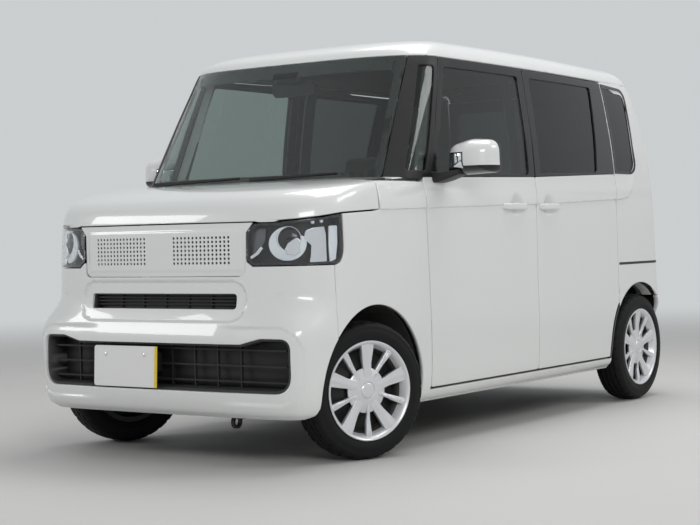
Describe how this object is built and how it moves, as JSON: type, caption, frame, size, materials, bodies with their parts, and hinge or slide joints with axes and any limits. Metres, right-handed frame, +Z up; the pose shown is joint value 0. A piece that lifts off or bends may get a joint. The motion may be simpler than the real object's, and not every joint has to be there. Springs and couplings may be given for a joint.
{
  "type": "kei car",
  "caption": "Tall boxy kei car with hinged front doors, sliding rear doors, hood, top-hinged tailgate and steered front wheels, for carrying people.",
  "frame": {"origin": "on the ground, under the middle of the car's bounding box", "axes": "+X forward along the car, +Y to its left, +Z up"},
  "size_m": [3.3923, 1.935, 1.7906],
  "materials": {
    "body_paint": "pearl gloss",
    "window_glass": "tinted",
    "black_plastic": "grained",
    "lamp_housing": "gloss black",
    "lamp_lens": "clear",
    "tail_lens": "translucent red",
    "cabin_plastic": "grained",
    "seat_cloth": "woven",
    "chassis_steel": "satin black",
    "wheel_silver": "silver metallic",
    "tyre_rubber": "matte"
  },
  "bodies": {
    "body": {"floor_pan": "chassis_steel", "wheelhouses": "black_plastic", "side_frame_left": "body_paint", "side_frame_right": "body_paint", "roof_panel": "body_paint", "cowl_panel": "black_plastic", "windshield": "window_glass", "side_glasses": "window_glass", "fender_left": "body_paint", "fender_right": "body_paint", "front_bumper": "body_paint", "grille_panel": "body_paint", "lower_grille": "black_plastic", "headlamps": "lamp_housing", "headlamp_lenses": "lamp_lens", "rear_bumper": "body_paint", "tail_lamps": "tail_lens", "sliding_door_left": "body_paint", "sliding_door_right": "body_paint", "hinge_pins": "chassis_steel", "wipers": "black_plastic", "dashboard": "cabin_plastic", "front_seat_left": "seat_cloth", "front_seat_right": "seat_cloth", "rear_seat": "seat_cloth", "engine_block": "chassis_steel", "front_subframe": "chassis_steel", "rear_axle": "chassis_steel", "exhaust": "chassis_steel"},
    "door_left": {"door_left": "body_paint", "door_glass_left": "window_glass", "mirror_left": "body_paint", "door_hinges_left": "chassis_steel"},
    "door_right": {"door_right": "body_paint", "door_glass_right": "window_glass", "mirror_right": "body_paint", "door_hinges_right": "chassis_steel"},
    "hood": {"hood": "body_paint", "hood_hinges": "chassis_steel"},
    "tailgate": {"tailgate": "body_paint", "tailgate_glass": "window_glass", "rear_wiper": "black_plastic", "tailgate_hinges": "chassis_steel"},
    "steer_left": {"knuckle_left": "chassis_steel"},
    "steer_right": {"knuckle_right": "chassis_steel"},
    "steering": {"steering_wheel": "cabin_plastic"},
    "road_wheel_front_left": {"wheel_front_left": "wheel_silver", "tyre_front_left": "tyre_rubber"},
    "road_wheel_front_right": {"wheel_front_right": "wheel_silver", "tyre_front_right": "tyre_rubber"},
    "road_wheel_rear_left": {"wheel_rear_left": "wheel_silver", "tyre_rear_left": "tyre_rubber"},
    "road_wheel_rear_right": {"wheel_rear_right": "wheel_silver", "tyre_rear_right": "tyre_rubber"}
  },
  "joints": [
    {"name": "door_left_hinge", "type": "hinge", "parent": "body", "child": "door_left", "pos_m": [0.7305, 0.7225, 0.665], "axis": [0, 0, -1], "range_deg": [0, 65]},
    {"name": "door_right_hinge", "type": "hinge", "parent": "body", "child": "door_right", "pos_m": [0.7305, -0.7225, 0.665], "axis": [0, 0, 1], "range_deg": [0, 65]},
    {"name": "hood_hinge", "type": "hinge", "parent": "body", "child": "hood", "pos_m": [1.1895, 0, 1.1205], "axis": [0, -1, 0], "range_deg": [0, 60]},
    {"name": "tailgate_hinge", "type": "hinge", "parent": "body", "child": "tailgate", "pos_m": [-1.4115, 0, 1.7495], "axis": [0, 1, 0], "range_deg": [0, 80]},
    {"name": "steer_left_turn", "type": "hinge", "parent": "body", "child": "steer_left", "pos_m": [1.1865, 0.63, 0.19], "axis": [0, -0.1503, 0.9886], "range_deg": [-13, 53]},
    {"name": "steer_right_turn", "type": "hinge", "parent": "body", "child": "steer_right", "pos_m": [1.1865, -0.63, 0.19], "axis": [0, 0.1503, 0.9886], "range_deg": [-13, 53]},
    {"name": "steering_wheel_turn", "type": "hinge", "parent": "body", "child": "steering", "pos_m": [0.5325, -0.318, 0.96], "axis": [-0.8988, 0, 0.4384], "range_deg": [-210, 850]},
    {"name": "wheel_front_left_spin", "type": "hinge", "parent": "steer_left", "child": "road_wheel_front_left", "pos_m": [1.19849, 0.64991, 0.27818], "axis": [0.3381, 0.9411, -0.009], "continuous": true},
    {"name": "wheel_front_right_spin", "type": "hinge", "parent": "steer_right", "child": "road_wheel_front_right", "pos_m": [1.17451, -0.64991, 0.27818], "axis": [0.3381, 0.9411, 0.009], "continuous": true},
    {"name": "wheel_rear_left_spin", "type": "hinge", "parent": "body", "child": "road_wheel_rear_left", "pos_m": [-1.3335, 0.652, 0.2785], "axis": [0, 1, 0], "continuous": true},
    {"name": "wheel_rear_right_spin", "type": "hinge", "parent": "body", "child": "road_wheel_rear_right", "pos_m": [-1.3335, -0.652, 0.2785], "axis": [0, 1, 0], "continuous": true}
  ],
  "couplings": [
    {"joint": "steer_right_turn", "follows": "steer_left_turn", "ratio": 1},
    {"joint": "steering_wheel_turn", "follows": "steer_left_turn", "ratio": 16}
  ]
}
